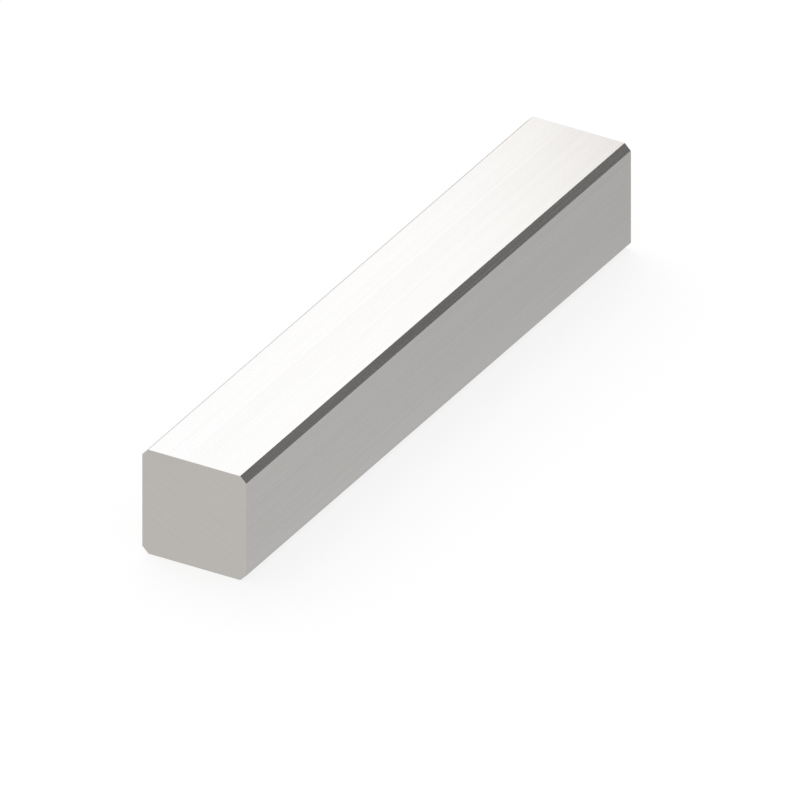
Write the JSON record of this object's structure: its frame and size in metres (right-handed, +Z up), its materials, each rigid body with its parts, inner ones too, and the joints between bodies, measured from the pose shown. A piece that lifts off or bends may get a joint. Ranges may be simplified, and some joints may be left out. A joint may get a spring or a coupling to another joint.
{
  "type": "parallel key",
  "caption": "Square-ended parallel key: a solid square steel bar with four chamfered long edges, which locks a hub to its shaft.",
  "frame": {"origin": "centre of the bottom face, which rests on the floor of the shaft keyway", "axes": "+X along the length, +Y across the width towards one side face, +Z up through the height to the top face"},
  "size_m": [0.032, 0.005, 0.005],
  "materials": {
    "bright_steel": "bright drawn, fine lines along the length, ends cut square"
  },
  "bodies": {
    "root": {"parallel_key": "bright_steel"}
  },
  "joints": []
}
